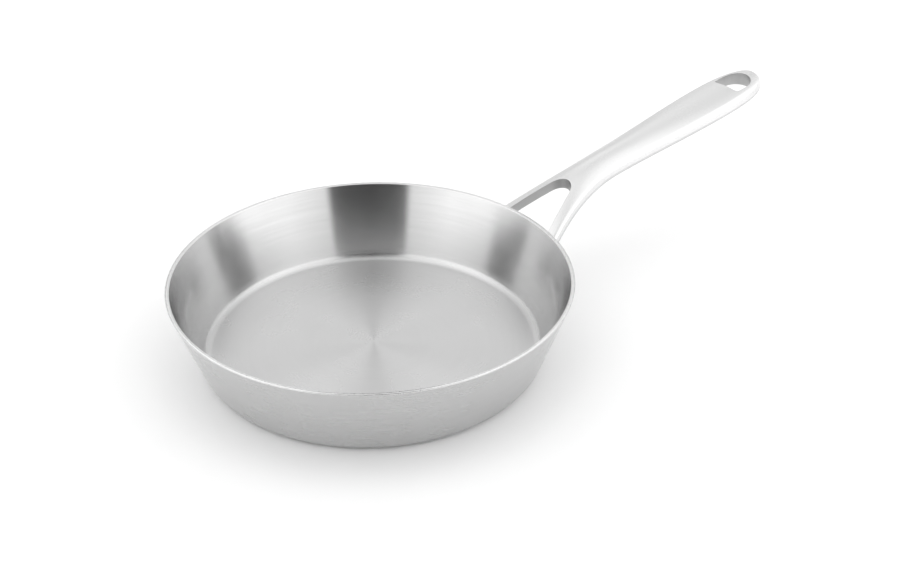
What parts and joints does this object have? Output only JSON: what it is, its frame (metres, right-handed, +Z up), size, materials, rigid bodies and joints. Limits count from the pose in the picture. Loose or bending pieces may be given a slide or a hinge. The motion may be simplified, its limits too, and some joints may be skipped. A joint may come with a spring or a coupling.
{
  "type": "omelette pan",
  "caption": "Shallow flared stainless steel omelette pan of bonded five-ply sheet, with a cast forked handle welded to the wall and a hanging eye at its end.",
  "frame": {"origin": "centre of the underside of the base, on the surface that the pan stands on", "axes": "+Z up along the pan's axis, +X along the handle, away from the pan"},
  "size_m": [0.4464, 0.2398, 0.1001],
  "materials": {
    "cooking_steel": "stainless steel, brushed round the wall and in circles on the floor",
    "bond_aluminium": "pure aluminium, seen only as a line at the polished rim",
    "core_aluminium": "aluminium alloy, seen only as a line at the polished rim",
    "outer_steel": "magnetic stainless steel, satin brushed round the outside",
    "handle_steel": "cast stainless steel, fine satin along its length",
    "weld_steel": "smoothed weld bead"
  },
  "bodies": {
    "root": {"cooking_ply": "cooking_steel", "upper_bond_ply": "bond_aluminium", "core_ply": "core_aluminium", "lower_bond_ply": "bond_aluminium", "outer_ply": "outer_steel", "handle": "handle_steel", "left_weld": "weld_steel", "right_weld": "weld_steel"}
  },
  "joints": []
}
